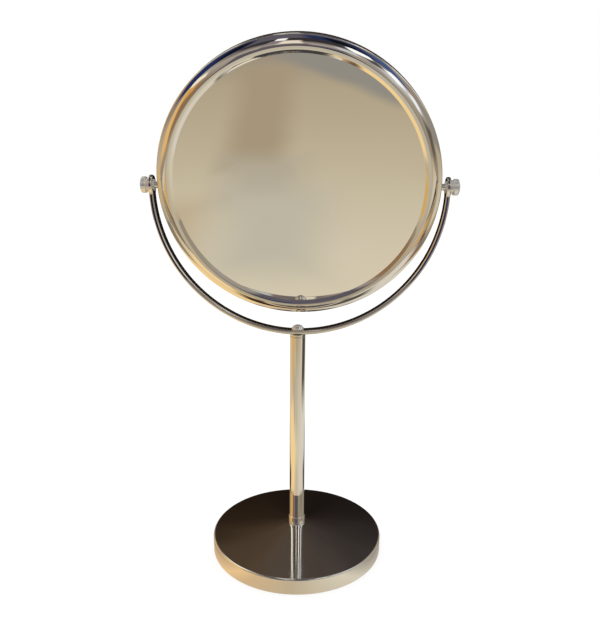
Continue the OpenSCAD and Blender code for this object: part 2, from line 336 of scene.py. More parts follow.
def plastic(name, first, second, rough_low, rough_high, grain, depth):
    """A moulded plastic, board or rubber with a fine grain."""
    material, nodes, links, shader = new_material(name)
    speckle = noise(nodes, links, grain, detail=6.0)
    tone = two_tone(nodes, links, speckle, first, second)
    links.new(tone.outputs["Result"], shader.inputs["Base Color"])
    rough = spread(nodes, links, speckle, rough_low, rough_high)
    links.new(rough.outputs["Result"], shader.inputs["Roughness"])
    bump(nodes, links, speckle, shader, 0.5, depth)
    return material


# %% Mix the finishes
CHROME_LIGHT = (0.86, 0.83, 0.78)
CHROME_DEEP = (0.80, 0.77, 0.72)
chrome_base = metal("chrome_base", CHROME_LIGHT, CHROME_DEEP, 0.03, 0.08, 0.00004, 55)
chrome_stem = metal(
    "chrome_stem", CHROME_LIGHT, CHROME_DEEP, 0.03, 0.06, 0.00001, 120, stretch=(1, 1, 0.15)
)
chrome_yoke = metal("chrome_yoke", CHROME_LIGHT, CHROME_DEEP, 0.03, 0.07, 0.00001, 90)
chrome_rim = metal("chrome_rim", CHROME_LIGHT, CHROME_DEEP, 0.02, 0.05, 0.00001, 70)
# Knobs and the screw are plated over a paler, softer finish, so they read as satin
SATIN_LIGHT = (0.90, 0.87, 0.82)
SATIN_DEEP = (0.82, 0.79, 0.74)
chrome_knob = metal(
    "chrome_knob", SATIN_LIGHT, SATIN_DEEP, 0.10, 0.2, 0.0, 0, smear=250, metallic=0.62
)
chrome_fastener = metal(
    "chrome_fastener", SATIN_LIGHT, SATIN_DEEP, 0.08, 0.16, 0.0, 0, smear=400, metallic=0.75
)
silvering = metal("silvering", (0.90, 0.88, 0.83), (0.88, 0.86, 0.81), 0.0, 0.02, 0.0, 0, smear=25)
zinc = metal("zinc_plate", (0.62, 0.62, 0.60), (0.50, 0.51, 0.50), 0.25, 0.45, 0.00002, 900)
casting = metal("casting", (0.11, 0.11, 0.12), (0.06, 0.06, 0.065), 0.55, 0.8, 0.0004, 700)
brass = metal("brass", (0.78, 0.60, 0.28), (0.70, 0.52, 0.24), 0.2, 0.35, 0.0, 0, smear=500)
nylon = plastic("nylon", (0.82, 0.81, 0.77), (0.76, 0.75, 0.70), 0.4, 0.55, 900, 0.00002)
frame_black = plastic(
    "frame_plastic", (0.04, 0.04, 0.04), (0.025, 0.025, 0.025), 0.4, 0.6, 700, 0.00003
)
board_grey = plastic("board", (0.12, 0.12, 0.11), (0.07, 0.07, 0.065), 0.8, 0.95, 1500, 0.00005)
pad_rubber = plastic(
    "pad_rubber", (0.05, 0.05, 0.052), (0.028, 0.028, 0.03), 0.7, 0.9, 1800, 0.00015
)

# %% [markdown]
# ## The base
#
# The real cover is one round of sheet steel, pressed into a shallow cone with an upright wall,
# then plated. What the eye reads is the thin bright line at its edge, where a round of little
# over a millimetre sweeps through half the room. The shell is spun as a closed wall with its
# real sheet thickness, so the underside is right too.

# %% Base cover and pad
SHEET = 0.8 * MM
EDGE_ROUND = 1.3 * MM
HEM_ROUND = 0.25 * MM
WALL_TOP = 11 * MM
SEAT_R = 7 * MM
SEAT_BLEND = 6 * MM
HOLE_R = 2.75 * MM
PAD_ROUND = 0.4 * MM

cover_outline = rounded([
    (cover_r - SHEET, cover_bottom),
    (cover_r, cover_bottom, HEM_ROUND),
    (cover_r, WALL_TOP, EDGE_ROUND),
    (SEAT_R, seat_z, SEAT_BLEND),
    (HOLE_R, seat_z),
    (HOLE_R, seat_z - SHEET),
    (SEAT_R, seat_z - SHEET),
    (cover_r - SHEET, WALL_TOP - SHEET, EDGE_ROUND - SHEET),
])
make_piece(
    "cover_shell", lathe(cover_outline, RIM_STEPS), "stand", chrome_base,
    ["base_cover"],
)

pad_r = half_width("base_pad")
pad_top = high("base_pad")[Z]
pad_outline = rounded([
    (0, 0), (pad_r, 0, PAD_ROUND), (pad_r, pad_top), (0, pad_top),
])
make_piece(
    "foot_pad", lathe(pad_outline, RIM_STEPS), "stand", pad_rubber, ["base_pad"],
)

# %% [markdown]
# ## The stem
#
# Two drawn tubes, one inside the other, and a turned ferrule round the foot. Pushed in, only the
# outer tube shows, with the ring of the inner tube's head on top of it. The inner tube and its
# split sleeve are still made in full, because they come into view as the mirror is raised.

# %% Collar, tubes and head
TUBE_WALL = 0.8 * MM
TUBE_LIP = 0.2 * MM
INNER_WALL = 0.7 * MM
INNER_LIP = 0.15 * MM
COLLAR_ROUND = 0.45 * MM

collar_r = half_width("foot_collar")
collar_top = high("foot_collar")[Z]
collar_outline = rounded([
    (stem_r, seat_z), (collar_r, seat_z, COLLAR_ROUND), (collar_r, collar_top, COLLAR_ROUND),
    (stem_r, collar_top),
], guard=0)
make_piece(
    "collar_ring", lathe(collar_outline, SMALL_STEPS), "stand", chrome_stem,
    ["foot_collar"],
)


def tube_outline(radius, wall, bottom, top, lip):
    """Outline of a tube with its outer ends eased by a small round."""
    return rounded([
        (radius - wall, bottom), (radius, bottom, lip), (radius, top, lip), (radius - wall, top),
    ])


make_piece(
    "outer_tube", lathe(tube_outline(stem_r, TUBE_WALL, seat_z, mouth_z, TUBE_LIP), SMALL_STEPS),
    "stand", chrome_stem, ["stem_outer_tube"],
)

inner_r = half_width("inner_tube")
inner_low, inner_high = low("inner_tube")[Z], high("inner_tube")[Z]
make_piece(
    "sliding_tube",
    lathe(tube_outline(inner_r, INNER_WALL, inner_low, inner_high, INNER_LIP), SMALL_STEPS),
    "mast", chrome_stem, ["inner_tube"],
)

HEAD_H = 1.6 * MM
HEAD_ROUND = 0.3 * MM
SCREW_R = 2 * MM
head_top = high("stem_head")[Z]
spigot_r = inner_r - INNER_WALL
spigot_low = low("stem_head")[Z]
head_outline = rounded([
    (SCREW_R, spigot_low), (spigot_r, spigot_low), (spigot_r, head_top - HEAD_H),
    (stem_r, head_top - HEAD_H, HEAD_ROUND), (stem_r, head_top, HEAD_ROUND), (SCREW_R, head_top),
], guard=0.05 * MM)
make_piece(
    "head_ring", lathe(head_outline, SMALL_STEPS), "mast", chrome_stem,
    ["stem_head"],
)

# %% [markdown]
# ## The yoke
#
# A narrow strip bent to a half circle, with a round ear at each end. Its section is laid out
# ring by ring along the bend, and each ring is as wide as the strip is there, so the ears flow
# out of the strip without a seam. The ends are the same section, spun half a turn about the
# pivot axis. The strip is tumbled before it is plated, so its edges are rounded and each one
# carries a bright line. Last, the holes are cut; washers and knobs cover their edges.

# %% Yoke strap
STRAP_T = 2.6 * MM
STRAP_W = 8 * MM
STRAP_EDGE = 0.9 * MM
DROP = 1.5 * MM
NECK = 3.6 * MM
STRAP_STEPS = 160
EAR_STEPS = 32
# In degrees: near each ear the rings lie closer, because the strip's width changes fast there
CLOSE_RINGS = 15
CLOSE_STEP = 0.3
CLOSE_SWEEP = 4.5
STRAP_WELD = 1e-6
# A point this near the middle line counts as lying on it
ON_MIDDLE = 1e-9

half_t = STRAP_T / 2
strap_mid = strap_r - half_t


def strap_section(half_w):
    """Outline of the strip's section, from the middle of its inner face round and back."""
    return rounded([
        (-half_t, 0), (-half_t, -half_w, STRAP_EDGE), (half_t, -half_w, STRAP_EDGE),
        (half_t, 0), (half_t, half_w, STRAP_EDGE), (-half_t, half_w, STRAP_EDGE),
    ], guard=0.08 * MM)


def half_width_at(distance):
    """Half the strip's width, that far along it from the pivot: ear, neck, then even."""
    if distance <= NECK:
        return math.sqrt(ear_r ** 2 - distance ** 2)
    neck_w = math.sqrt(ear_r ** 2 - NECK ** 2)
    slope = NECK / neck_w
    length = 2 * (neck_w - STRAP_W / 2) / slope
    along = min(distance - NECK, length)
    return neck_w - slope * along + slope / (2 * length) * along ** 2


def add_ring(bm, before, points):
    """Add a closed ring of points, joined by faces to the ring before it."""
    ring = [bm.verts.new(point) for point in points]
    if before:
        for i in range(len(ring)):
            bm.faces.new((before[i - 1], before[i], ring[i], ring[i - 1]))
    return ring


def cut_away(piece, cutters):
    """Take cutter meshes out of a piece, and return the piece with its new mesh."""
    bm = bmesh.new()
    for cutter in cutters:
        cutter(bm)
    mesh = bpy.data.meshes.new("cutter")
    bm.to_mesh(mesh)
    bm.free()
    tool = bpy.data.objects.new("cutter", mesh)
    bpy.context.collection.objects.link(tool)
    cut = piece.modifiers.new("cut", "BOOLEAN")
    cut.object = tool
    cut.operation = "DIFFERENCE"
    cut.solver = "EXACT"
    cut.use_self = True
    result = bpy.data.meshes.new_from_object(
        piece.evaluated_get(bpy.context.evaluated_depsgraph_get())
    )
    piece.modifiers.clear()
    piece.data = result
    result.set_sharp_from_angle(angle=SHARP_FROM)
    bpy.data.objects.remove(tool)
    print(piece.name, "after its cuts:", len(result.polygons), "faces")
    return piece


angles = [180 + CLOSE_STEP * i for i in range(CLOSE_RINGS)]
angles += [
    180 + CLOSE_SWEEP + (180 - 2 * CLOSE_SWEEP) * i / STRAP_STEPS for i in range(STRAP_STEPS + 1)
]
angles += [360 - CLOSE_STEP * i for i in reversed(range(CLOSE_RINGS))]
strap = bmesh.new()
ring = add_ring(strap, None, [(-strap_mid - x, y, 0) for x, y in strap_section(ear_r)])
for angle in map(math.radians, angles):
    depth = DROP - strap_mid * math.sin(angle)
    ring = add_ring(strap, ring, [
        ((strap_mid + x) * math.cos(angle), y, (strap_mid + x) * math.sin(angle) - DROP)
        for x, y in strap_section(half_width_at(depth))
    ])
add_ring(strap, ring, [(strap_mid + x, y, 0) for x, y in strap_section(ear_r)])
for side in SIDES.values():
    half_ring = [
        strap.verts.new((side * (strap_mid + x), y, 0))
        for x, y in strap_section(ear_r) if y <= ON_MIDDLE
    ]
    chain = [strap.edges.new(pair) for pair in zip(half_ring, half_ring[1:])]
    bmesh.ops.spin(
        strap, geom=half_ring + chain, cent=(0, 0, 0), axis=(-1, 0, 0), dvec=(0, 0, 0),
        angle=math.pi, steps=EAR_STEPS,
    )
bmesh.ops.remove_doubles(strap, verts=strap.verts, dist=STRAP_WELD)
bmesh.ops.dissolve_degenerate(strap, edges=strap.edges, dist=SPECK)
bmesh.ops.recalc_face_normals(strap, faces=strap.faces)
moved(strap, Matrix.Translation(pivot))
print("open edges in the yoke:", sum(edge.is_boundary for edge in strap.edges))
yoke = make_piece("strap", strap, "cradle", chrome_yoke, ["yoke"])


STUD_HOLE_R = 1.55 * MM
SCREW_HOLE_R = 2.05 * MM
DRILL_LENGTH = 10 * MM
DRILL_SIDES = 48


def drill(radius, place):
    """A cutter: a rod about the local Z axis of a place."""
    def add(bm):
        bmesh.ops.create_cone(
            bm, cap_ends=True, segments=DRILL_SIDES, radius1=radius, radius2=radius,
            depth=DRILL_LENGTH, matrix=place,
        )
    return add


cut_away(yoke, [
    drill(STUD_HOLE_R, out_to(LEFT) @ Matrix.Translation((0, 0, strap_mid))),
    drill(STUD_HOLE_R, out_to(RIGHT) @ Matrix.Translation((0, 0, strap_mid))),
    drill(SCREW_HOLE_R, Matrix.Translation((0, 0, low("yoke")[Z]))),
])

# %% [markdown]
# ## The swivel screw
#
# A domed screw goes down through the strap into the head of the stem, with a thin washer under
# it. The dome is a cap of a ball with a short upright brim. Its cross recess is cut as the
# holes of the yoke are: two bars that cross, taken out by a Boolean modifier.

# %% Screw and washer
WASHER_ROUND = 0.12 * MM
washer_low, washer_high = low("yoke_washer")[Z], high("yoke_washer")[Z]
washer_r = half_width("yoke_washer")
washer_outline = rounded([
    (SCREW_R, washer_low), (washer_r, washer_low), (washer_r, washer_high, WASHER_ROUND),
    (SCREW_R, washer_high),
], guard=0.03 * MM)
make_piece(
    "swivel_washer", lathe(washer_outline, SMALL_STEPS), "mast", zinc,
    ["yoke_washer"],
)

screw_low, screw_high = low("yoke_screw")[Z], high("yoke_screw")[Z]
screw_head_r = half_width("yoke_screw")
SCREW_HEAD_H = 2.8 * MM
BRIM = 0.5 * MM
# Length, width and depth of each bar of the cross
RECESS = (4.0 * MM, 0.8 * MM, 1.1 * MM)
dome_r = cap_radius(screw_head_r, SCREW_HEAD_H - BRIM)
rise = math.degrees(math.asin(screw_head_r / dome_r))
screw_outline = [
    (0, screw_low), (SCREW_R, screw_low), (SCREW_R, washer_high), (screw_head_r, washer_high),
] + arc(0, screw_high - dome_r, dome_r, 90 - rise, 90)
screw = make_piece(
    "swivel_screw", lathe(screw_outline, SMALL_STEPS), "mast", chrome_fastener,
    ["yoke_screw"],
)


def slot(turn):
    """A cutter: one bar of the cross recess."""
    def add(bm):
        bar = bmesh.ops.create_cube(bm, size=1)["verts"]
        length, width, depth = RECESS
        bmesh.ops.scale(bm, vec=(length, width, 2 * depth), verts=bar)
        bmesh.ops.rotate(bm, cent=(0, 0, 0), matrix=Matrix.Rotation(turn, 3, "Z"), verts=bar)
        bmesh.ops.translate(bm, vec=(0, 0, screw_high), verts=bar)
    return add


cut_away(screw, [slot(0), slot(math.pi / 2)])

# %% [markdown]
# ## The rim
#
# The rim is rolled from strip round a moulded ring. A lip climbs from the glass as a nearly
# straight bevel and turns onto a gentle land, which ends in a soft ridge. A shoulder falls from
# the ridge to a crease, and a broad band runs on from the crease to the upright outer wall.
# Every one of these reflects another part of the room, in a streak of a millimetre or two, so
# the outline is written as true arcs and spun once for each part. The rolled hoop is hollow
# behind, as the real one is.

# %% Rim hoop and bezels
GLASS_FACE = 4.2 * MM
RIDGE_H = GLASS_FACE + 1.77 * MM
# Each roll is (radius, slope it starts with, slope it ends with); a slope of 0 lies level
LIP_ROLLS = [(1.0, 0, -12), (13.2, -12, -19), (0.8, -19, -33), (31.7, -33, -36.9)]
SHOULDER_ROLLS = [(1.0, 0, 22), (10.9, 22, 42)]
BAND_ROLLS = [(10.7, 4, 14)]
CORNER_SLOPE = 14
GROOVE = 0.06 * MM
# How far the channel lies below the ridge, at its first two corners, and then below the crease
# and below the top of the outer wall
RIDGE_SKIN, SHOULDER_SKIN, CREASE_SKIN, WALL_SKIN = 1.1 * MM, 1.5 * MM, 1.0 * MM, 0.2 * MM
SHOULDER_OUT = 1.2 * MM
OUTER_WALL = 0.9 * MM

bezel_r = half_width("front_bezel")
ridge_r = bezel_r + GROOVE
channel_r = rim_r - OUTER_WALL


def follow(start, rolls):
    """Run along a chain of arcs that begins at a point."""
    points = [start]
    for radius, first, last in rolls:
        reach = radius * MM
        slope = math.radians(first)
        x = points[-1][0] - reach * math.sin(slope)
        y = points[-1][1] - reach * math.cos(slope)
        points += arc(x, y, reach, 90 - first, 90 - last)[1:]
    return points


shoulder = follow((ridge_r, RIDGE_H), SHOULDER_ROLLS)
crease_r, crease_h = shoulder[-1]
band = follow(shoulder[-1], BAND_ROLLS)
corner_r = (rim_r - band[-1][0]) / (1 - math.sin(math.radians(CORNER_SLOPE)))
corner = follow(band[-1], [(corner_r / MM, CORNER_SLOPE, 90)])
wall_h = corner[-1][1]
front_half = shoulder + band[1:] + corner[1:] + [(rim_r, wall_h - GUARD)]
channel = [
    (ridge_r, RIDGE_H - RIDGE_SKIN), (bezel_r + SHOULDER_OUT, RIDGE_H - SHOULDER_SKIN),
    (crease_r, crease_h - CREASE_SKIN), (channel_r, wall_h - WALL_SKIN),
]
print("crease", round(crease_r / MM, 2), round(crease_h / MM, 2), "corner", round(corner_r / MM, 2),
      "wall", round(wall_h / MM, 2))


def other_face(points):
    """The same points on the other face, in the opposite order."""
    return [(x, -y) for x, y in reversed(points)]


hoop_outline = front_half + other_face(front_half) + other_face(channel[::-1]) + channel[::-1]
make_piece(
    "hoop", moved(lathe(hoop_outline, RIM_STEPS), OUT_OF_MIRROR), "mirror_head", chrome_rim,
    ["rim_hoop"],
)

GLASS_PLAY = 0.3 * MM
pocket_r = glass_r + GLASS_PLAY
glass_back = GLASS_FACE - GLASS_T
lip = follow((bezel_r, RIDGE_H), LIP_ROLLS)
print("lip ends", [round(v / MM, 2) for v in lip[-1]])
lip_outline = lip + [
    (lip[-1][0], GLASS_FACE), (pocket_r, GLASS_FACE), (pocket_r, glass_back),
    (bezel_r, glass_back),
]
FLIP = Matrix.Rotation(math.pi, 4, "X")
for face, turn in (("front", Matrix.Identity(4)), ("rear", FLIP)):
    make_piece(
        f"{face}_lip", moved(lathe(lip_outline, RIM_STEPS), OUT_OF_MIRROR @ turn),
        "mirror_head", chrome_rim, [f"{face}_bezel"],
    )

# %% [markdown]
# ## The two glasses
#
# One side is plain, the other is slumped to a shallow dish that magnifies. Both are silvered, so
# for the eye they are one thing: an almost perfect mirror with a faintly warm tone. The plain
# one needs no more than a disc. The dish must be truly round, since a reflection shows an error
# in the surface twice over, so its outline follows the circle and not a few straight steps.

# %% Plain and magnifying glass
MAGNIFY_R = 900 * MM
DISH_RINGS = 60
GLASS_ROUND = 0.2 * MM

plain_outline = rounded([
    (0, glass_back), (glass_r, glass_back, GLASS_ROUND), (glass_r, GLASS_FACE, GLASS_ROUND),
    (0, GLASS_FACE),
])
make_piece(
    "plain_glass", moved(lathe(plain_outline, RIM_STEPS), OUT_OF_MIRROR), "mirror_head",
    silvering, ["front_glass"],
)


def dish(radius):
    """How far the magnifying face lies below its edge."""
    return (glass_r ** 2 - radius ** 2) / (2 * MAGNIFY_R)


radii = [glass_r * i / DISH_RINGS for i in range(DISH_RINGS + 1)]
dish_outline = [(r, dish(r) - GLASS_FACE) for r in radii]
dish_outline += [(r, dish(r) - glass_back) for r in reversed(radii)]
make_piece(
    "magnifying_glass", moved(lathe(dish_outline, RIM_STEPS), OUT_OF_MIRROR), "mirror_head",
    silvering, ["rear_glass"],
)

# %% [markdown]
# ## Knobs and pivots
#
# Each knob is turned from bar: a foot that bears on the strap, a short neck, and a thick domed
# head to hold. Between strap and rim shows a short bright spacer and the pale edge of a
# nylon washer, which gives the tilt its drag.

# %% Knobs, spacers and washers
FOOT_R = 4.2 * MM
NECK_R = 3.8 * MM
# How far out from the strap the foot ends, the neck is thinnest and the head begins
FOOT_END, NECK_AT, HEAD_AT = 0.8 * MM, 1.3 * MM, 1.9 * MM
# How far back from the tip the head's side ends and its dome begins
SIDE_END, DOME_H = 1.4 * MM, 1.0 * MM
DOME_INSET = 0.5 * MM
FOOT_ROUND, HEAD_BACK_ROUND, HEAD_FRONT_ROUND = 0.2 * MM, 0.5 * MM, 0.3 * MM

head_r = half_size("left_knob", Z)
knob_start = low("right_knob")[X]
knob_end = high("right_knob")[X]
knob_dome = cap_radius(head_r - DOME_INSET, DOME_H)
knob_rise = math.degrees(math.asin((head_r - DOME_INSET) / knob_dome))
knob_outline = rounded([
    (0, knob_start), (FOOT_R, knob_start, FOOT_ROUND),
    (FOOT_R, knob_start + FOOT_END, FOOT_ROUND), (NECK_R, knob_start + NECK_AT, FOOT_ROUND),
    (head_r, knob_start + HEAD_AT, HEAD_BACK_ROUND),
    (head_r, knob_end - SIDE_END, HEAD_FRONT_ROUND), (head_r - DOME_INSET, knob_end - DOME_H),
], closed=False, guard=0.02 * MM)
knob_outline += arc(0, knob_end - knob_dome, knob_dome, 90 - knob_rise, 90)[1:]

SPACER_ROUND = 0.1 * MM
spacer_in, spacer_out = low("right_spacer")[X], high("right_spacer")[X]
spacer_r = half_size("right_spacer", Z)
spacer_outline = rounded([
    (STUD_HOLE_R, spacer_in), (spacer_r, spacer_in), (spacer_r, spacer_out, SPACER_ROUND),
    (STUD_HOLE_R, spacer_out),
], guard=0.03 * MM)
for name, side in SIDES.items():
    make_piece(
        f"{name}_knob_turned", moved(lathe(knob_outline, SMALL_STEPS), out_to(side)),
        f"knob_{name}", chrome_knob, [f"{name}_knob"],
    )
    make_piece(
        f"{name}_spacer_tube", moved(lathe(spacer_outline, SMALL_STEPS), out_to(side)),
        "mirror_head", chrome_fastener, [f"{name}_spacer"],
    )

# %% [markdown]
# ## What stays from the CAD model
#
# Pieces shut away inside keep their CAD shape and only get a finish: the cast weight, the bolt,
# the moulded ring and the rest. They show when the model is opened or cut.

# %% Finish the CAD nodes
carried_over = {
    "base_weight": casting, "base_bolt": zinc, "base_washer": zinc, "stem_foot_plug": zinc,
    "stem_guide_bush": nylon, "inner_tube_slider": nylon, "divider_disc": board_grey,
    "inner_frame": frame_black, "left_insert": brass, "right_insert": brass,
    "left_stud": zinc, "right_stud": zinc,
    "left_friction_washer": nylon, "right_friction_washer": nylon,
}
for node, finish in carried_over.items():
    mesh = frame["nodes"][node].data
    mesh.materials.clear()
    mesh.materials.append(finish)
print(len(carried_over), "CAD nodes keep their shape")

# %% [markdown]
# ## The floor and the light
#
# The floor is plain and white and the light is soft and even: a white world, and one broad lamp
# overhead. The floor glows a little for the camera, so it stays white out to the horizon and
# still takes a faint shadow under the base.

# %% Floor, world and lamp
def stage_plane(name, corner, far_corner, height, material):
    """A flat rectangle of the stage, from one corner (x, y) to the other."""
    x0, y0 = corner
    x1, y1 = far_corner
    bm = bmesh.new()
    bm.faces.new([bm.verts.new(point) for point in (
        (x0, y0, height), (x1, y0, height), (x1, y1, height), (x0, y1, height),
    )])
    return stage_object(name, bm, material)


def stage_object(name, bm, material):
    """An object of a bmesh that belongs to the stage and not to the mirror."""
    mesh = bpy.data.meshes.new(name)
    bm.to_mesh(mesh)
    bm.free()
    mesh.materials.append(material)
    thing = bpy.data.objects.new(name, mesh)
    bpy.context.collection.objects.link(thing)
    return thing


FLOOR_HALF = 6.0
FLOOR_DIFFUSE = 0.30
FLOOR_GLOW = 0.75
floor_paint, floor_nodes, floor_links, floor_shader = new_material("floor_paint")
floor_shader.inputs["Base Color"].default_value = (FLOOR_DIFFUSE, FLOOR_DIFFUSE, FLOOR_DIFFUSE, 1)
floor_shader.inputs["Roughness"].default_value = 1.0
floor_shader.inputs["Specular IOR Level"].default_value = 0.0
floor_shader.inputs["Emission Color"].default_value = (1, 1, 1, 1)
light_path = floor_nodes.new("ShaderNodeLightPath")
glow = floor_nodes.new("ShaderNodeMath")
glow.operation = "MULTIPLY"
glow.inputs[1].default_value = FLOOR_GLOW
floor_links.new(light_path.outputs["Is Camera Ray"], glow.inputs[0])
floor_links.new(glow.outputs["Value"], floor_shader.inputs["Emission Strength"])
floor = stage_plane(
    "floor", (-FLOOR_HALF, -FLOOR_HALF), (FLOOR_HALF, FLOOR_HALF), 0, floor_paint
)
floor.visible_glossy = False

world = bpy.data.worlds.new("world")
bpy.context.scene.world = world
world.use_nodes = True
world.node_tree.nodes["Background"].inputs["Color"].default_value = (1, 1, 1, 1)
world.node_tree.nodes["Background"].inputs["Strength"].default_value = 1.0

lamp_data = bpy.data.lights.new("overhead", "AREA")
lamp_data.shape = "DISK"
lamp_data.size = 1.5
lamp_data.energy = 4.0
lamp = bpy.data.objects.new("overhead", lamp_data)
lamp.location = (-0.3, -0.4, 1.8)
lamp.visible_glossy = False
bpy.context.collection.objects.link(lamp)

bpy.context.scene.view_settings.view_transform = "Standard"

# %% [markdown]
# ## What the chrome sees
#
# Chrome has no colour of its own to show. It shows what stands round it, and in an empty white
# room it turns into white plastic. A studio sets cards round a chrome piece, dark ones and light
# ones, and this is the same idea, done as painted reflections: a glowing dome far off, dark behind
# and above, paler in front, with a dark figure straight ahead and tall windows to the right, and
# a glowing table top of warm wood that reaches a little way out from the base. Both are painted
# reflections: they glow, light nothing, and are seen by reflections and by nothing else.
#
# Each patch on them is a soft-edged box: left, right, bottom and top, then how soft its edges
# are, its colour, and how far it slants. On the dome the sides are angles in degrees: across,
# from the left (-) to the right (+) of the place straight ahead, and up. On the table they are
# millimetres, to the right and away from the viewer.

# %% Helpers for the room
# What the plate sends back of red, green and blue
TINT = (0.83, 0.80, 0.75)


def seen(red, green, blue):
    """Linear colour that chrome shows as this display colour, given on a scale to 255."""
    linear = []
    for value, tint in zip((red, green, blue), TINT):
        value = value / 255
        value = value / 12.92 if value <= 0.04045 else ((value + 0.055) / 1.055) ** 2.4
        linear.append(value / tint)
    return (*linear, 1)


class Paint:
    """A glowing material whose colour is laid on in layers."""

    def __init__(self, name):
        self.material = bpy.data.materials.new(name)
        self.material.use_nodes = True
        self.material.cycles.emission_sampling = "NONE"
        tree = self.material.node_tree
        self.nodes, self.links = tree.nodes, tree.links
        self.nodes.remove(self.nodes["Principled BSDF"])
        self.glow = self.nodes.new("ShaderNodeEmission")
        surface = self.nodes["Material Output"].inputs["Surface"]
        self.links.new(self.glow.outputs["Emission"], surface)

    def math(self, operation, *values):
        """A Math node's result, from numbers and other results."""
        node = self.nodes.new("ShaderNodeMath")
        node.operation = operation
        for socket, value in zip(node.inputs, values):
            if isinstance(value, (int, float)):
                socket.default_value = value
            else:
                self.links.new(value, socket)
        return node.outputs["Value"]

    def step(self, value, first, last):
        """0 below the first value, 1 above the last, and a smooth step between."""
        node = self.nodes.new("ShaderNodeMapRange")
        node.interpolation_type = "SMOOTHSTEP"
        node.inputs["From Min"].default_value = first
        node.inputs["From Max"].default_value = last
        self.links.new(value, node.inputs["Value"])
        return node.outputs["Result"]

    def ramp(self, value, first, last, colours):
        """Colours laid out along a value: (place, display colour)."""
        spot = self.nodes.new("ShaderNodeMapRange")
        spot.inputs["From Min"].default_value = first
        spot.inputs["From Max"].default_value = last
        self.links.new(value, spot.inputs["Value"])
        node = self.nodes.new("ShaderNodeValToRGB")
        stops = node.color_ramp.elements
        while len(stops) < len(colours):
            stops.new(1)
        for stop, (place, colour) in zip(stops, colours):
            stop.position = (place - first) / (last - first)
        for stop, (place, colour) in zip(stops, colours):
            stop.color = seen(*colour)
        self.links.new(spot.outputs["Result"], node.inputs["Fac"])
        return node.outputs["Color"]

    def mix(self, share, under, over):
        """One colour over another, by a share from 0 to 1."""
        node = self.nodes.new("ShaderNodeMix")
        node.data_type = "RGBA"
        self.links.new(share, node.inputs["Factor"])
        self.links.new(under, node.inputs["A"])
        if isinstance(over, tuple):
            node.inputs["B"].default_value = over
        else:
            self.links.new(over, node.inputs["B"])
        return node.outputs["Result"]

    def patch(self, under, across, up, sides, soft, colour, slant=0.0):
        """One soft-edged box over what is there; slant moves it across as it rises."""
        left, right, bottom, top = sides
        middle, level = (left + right) / 2, (bottom + top) / 2
        leaning = self.math("MULTIPLY", self.math("SUBTRACT", up, level), slant)
        aside = self.math("SUBTRACT", self.math("SUBTRACT", across, middle), leaning)
        aside = self.math("SUBTRACT", self.math("ABSOLUTE", aside), (right - left) / 2)
        above = self.math("ABSOLUTE", self.math("SUBTRACT", up, level))
        above = self.math("SUBTRACT", above, (top - bottom) / 2)
        share = self.step(self.math("MAXIMUM", aside, above), soft / 2, -soft / 2)
        return self.mix(share, under, seen(*colour))

    def swim(self, value, scale, reach):
        """A value made a little uneven, so that no edge is ruled."""
        texture = self.nodes.new("ShaderNodeTexNoise")
        texture.inputs["Scale"].default_value = scale
        place = self.nodes.new("ShaderNodeTexCoord")
        self.links.new(place.outputs["Object"], texture.inputs["Vector"])
        drift = self.math("MULTIPLY", self.math("SUBTRACT", texture.outputs["Fac"], 0.5), reach)
        return self.math("ADD", value, drift)

    def place(self):
        """The three Object coordinates."""
        node = self.nodes.new("ShaderNodeTexCoord")
        split = self.nodes.new("ShaderNodeSeparateXYZ")
        self.links.new(node.outputs["Object"], split.inputs["Vector"])
        return split.outputs["X"], split.outputs["Y"], split.outputs["Z"]

    def finish(self, colour):
        """Let the last layer glow, and hand the material over."""
        self.links.new(colour, self.glow.inputs["Color"])
        return self.material


def only_reflected(thing):
    """Hide a part of the stage from everything but reflections."""
    thing.visible_camera = False
    thing.visible_diffuse = False
    thing.visible_transmission = False
    thing.visible_volume_scatter = False
    thing.visible_shadow = False


# %% The dome of painted reflections
DOME_R = 1.9
DOME_CENTRE = (0, -0.02, 0.32)
DOME_SEGMENTS, DOME_RINGS = 96, 48
# The ramps run over these angles up
LOWEST, HIGHEST = -30, 90
# Behind the mirror the left and the right differ, and blend over this many metres each way
SIDE_BLEND = 0.5
# From this many degrees across, the room in front gives way to the one behind
FRONT_END, BEHIND_START = 132, 160

# The dome glows with a painted room for the chrome to reflect and lights nothing: its ramps and
# patches are painted reflections, dark behind and above, paler in front.
dome_paint = Paint("room_dome_painted_reflections")
x, y, z = dome_paint.place()
forward = dome_paint.math("MULTIPLY", y, -1)
across = dome_paint.math("DEGREES", dome_paint.math("ARCTAN2", x, forward))
up = dome_paint.math("DEGREES", dome_paint.math("ARCSINE", dome_paint.math("DIVIDE", z, DOME_R)))
across = dome_paint.swim(across, scale=3, reach=5)
up = dome_paint.swim(up, scale=4, reach=3)
level = dome_paint.swim(up, scale=2.2, reach=26)
behind_left = dome_paint.ramp(level, LOWEST, HIGHEST, [
    (-30, (23, 15, 9)), (3, (30, 21, 14)), (16, (42, 31, 21)), (29, (61, 48, 35)),
    (42, (78, 63, 49)), (70, (84, 79, 74)),
])
behind_right = dome_paint.ramp(level, LOWEST, HIGHEST, [
    (-30, (21, 16, 14)), (3, (25, 21, 20)), (16, (36, 30, 29)), (29, (52, 46, 43)),
    (42, (66, 60, 57)), (70, (78, 77, 83)),
])
to_right = dome_paint.step(x, -SIDE_BLEND, SIDE_BLEND)
behind = dome_paint.mix(to_right, behind_left, behind_right)
front = dome_paint.ramp(up, LOWEST, HIGHEST, [
    (-22, (150, 128, 108)), (-2, (150, 140, 122)), (8, (158, 148, 132)), (18, (150, 140, 128)),
    (30, (166, 154, 140)), (38, (120, 112, 108)), (48, (70, 66, 66)), (75, (68, 70, 71)),
])
turned = dome_paint.step(dome_paint.math("ABSOLUTE", across), FRONT_END, BEHIND_START)
room = dome_paint.mix(turned, front, behind)
